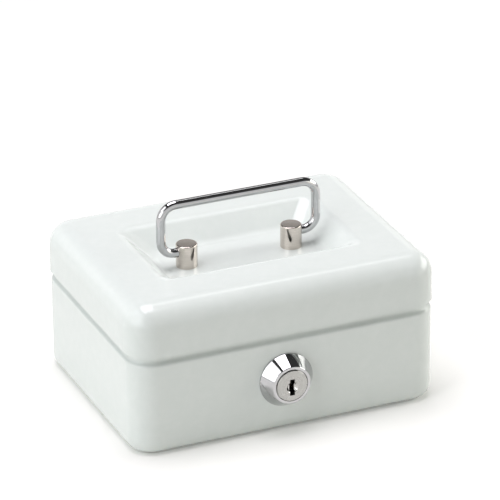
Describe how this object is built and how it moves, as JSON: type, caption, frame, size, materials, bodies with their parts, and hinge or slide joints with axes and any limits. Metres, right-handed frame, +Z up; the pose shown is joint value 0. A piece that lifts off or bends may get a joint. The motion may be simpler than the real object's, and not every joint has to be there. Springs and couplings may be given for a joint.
{
  "type": "cash box",
  "caption": "Small hinged steel cash box with a recessed bail handle and coin slot in the lid and a cylinder lock in the front, for locking away coins and notes.",
  "frame": {"origin": "middle of the flat base, on the surface the box stands on", "axes": "+X across the front to the right, +Y from the lock to the hinges, +Z up"},
  "size_m": [0.1256, 0.1037, 0.0804],
  "materials": {
    "white_paint": "gloss white enamel",
    "chrome": "bright chrome plating",
    "nickel": "satin nickel plating",
    "zinc_steel": "bright zinc plating",
    "brass": "stamped brass"
  },
  "bodies": {
    "body": {"body_shell": "white_paint", "hinge_body_leaf_left": "white_paint", "hinge_body_leaf_right": "white_paint", "hinge_pin_left": "zinc_steel", "hinge_pin_right": "zinc_steel", "lock_housing": "chrome", "lock_washer": "zinc_steel", "lock_nut": "zinc_steel"},
    "lid": {"lid_shell": "white_paint", "hinge_lid_leaf_left": "white_paint", "hinge_lid_leaf_right": "white_paint", "strike_bracket": "white_paint", "handle_post_left": "nickel", "handle_post_right": "nickel", "post_washers": "zinc_steel"},
    "handle": {"handle": "chrome"},
    "lock_rotor": {"lock_plug": "nickel", "lock_cam": "zinc_steel", "cam_washer": "zinc_steel", "cam_screw": "zinc_steel"},
    "wafers": {"lock_wafers": "brass"}
  },
  "joints": [
    {"name": "lid_hinge", "type": "hinge", "parent": "body", "child": "lid", "pos_m": [0, 0.048, 0.0386], "axis": [-1, 0, 0], "range_deg": [0, 100]},
    {"name": "handle_pivot", "type": "hinge", "parent": "lid", "child": "handle", "pos_m": [0, 0, 0.0586], "axis": [1, 0, 0], "range_deg": [-85, 85]},
    {"name": "lock_turn", "type": "hinge", "parent": "body", "child": "lock_rotor", "pos_m": [-0.0014, -0.0475, 0.0216], "axis": [0, 1, 0], "range_deg": [0, 90]},
    {"name": "wafer_drop", "type": "slide", "parent": "lock_rotor", "child": "wafers", "axis": [0, 0, -1], "range_m": [0, 0.0005]}
  ]
}
